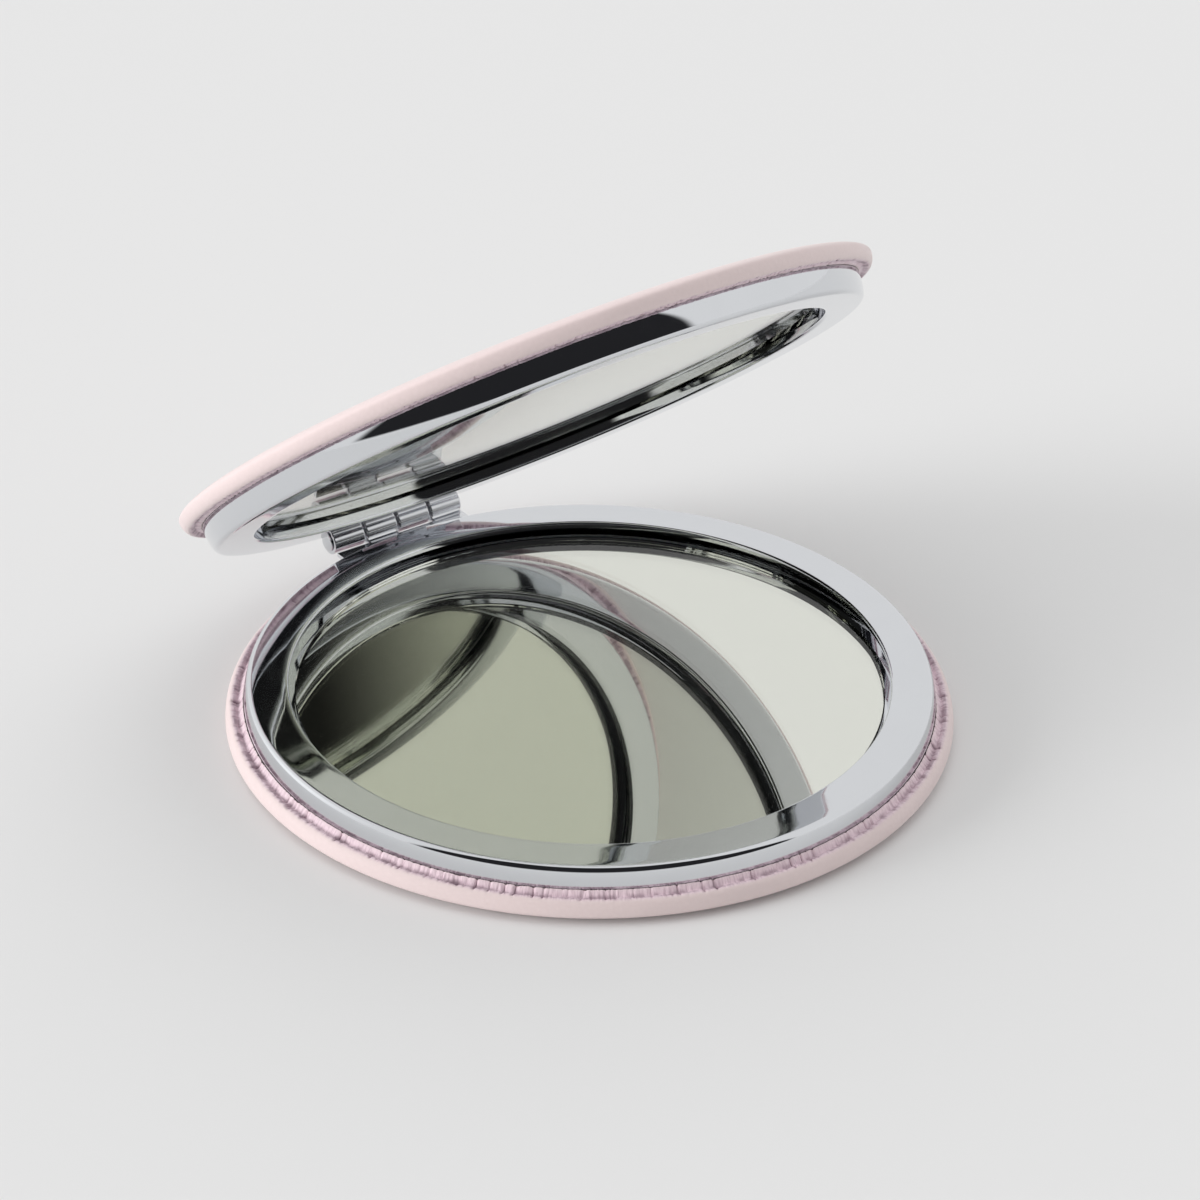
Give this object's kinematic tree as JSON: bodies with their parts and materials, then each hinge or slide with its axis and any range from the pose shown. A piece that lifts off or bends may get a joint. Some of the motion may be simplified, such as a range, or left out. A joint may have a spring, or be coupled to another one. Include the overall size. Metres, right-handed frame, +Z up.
{
  "type": "compact mirror",
  "caption": "Round hinged pocket mirror with a mirror in each half, chrome frames, gathered padded covers and a pin hinge that holds the lid where it is put.",
  "frame": {"origin": "centre of the flat face of the base's padded cover, on which the compact stands", "axes": "+Z up, out of the base mirror; +Y from the front edge to the hinge; +X along the hinge pin"},
  "size_m": [0.07, 0.0726, 0.0536],
  "materials": {
    "cover_skin": "satin coated leather look, fine grain",
    "padding": "foam",
    "cover_board": "pressed grey board",
    "adhesive_pad": "adhesive pad",
    "frame_chrome": "bright plated",
    "mirror_tape": "adhesive film",
    "silvering": "silvered and back painted",
    "mirror_glass": "clear float glass",
    "magnet": "nickel plated",
    "hinge_chrome": "bright plated",
    "pin_steel": "polished steel"
  },
  "bodies": {
    "base": {"base_cover_skin": "cover_skin", "base_cover_padding": "padding", "base_cover_board": "cover_board", "base_board_adhesive": "adhesive_pad", "base_frame": "frame_chrome", "base_mirror_tape": "mirror_tape", "base_mirror_silvering": "silvering", "base_mirror_glass": "mirror_glass", "base_magnet": "magnet", "base_hinge_leaf": "hinge_chrome", "hinge_pin": "pin_steel"},
    "lid": {"lid_cover_skin": "cover_skin", "lid_cover_padding": "padding", "lid_cover_board": "cover_board", "lid_board_adhesive": "adhesive_pad", "lid_frame": "frame_chrome", "lid_mirror_tape": "mirror_tape", "lid_mirror_silvering": "silvering", "lid_mirror_glass": "mirror_glass", "lid_magnet": "magnet", "lid_hinge_leaf": "hinge_chrome"}
  },
  "joints": [
    {"name": "lid_hinge", "type": "hinge", "parent": "base", "child": "lid", "pos_m": [0, 0.03489, 0.00505], "axis": [-1, 0, 0], "range_deg": [-40.5, 131.5]}
  ]
}
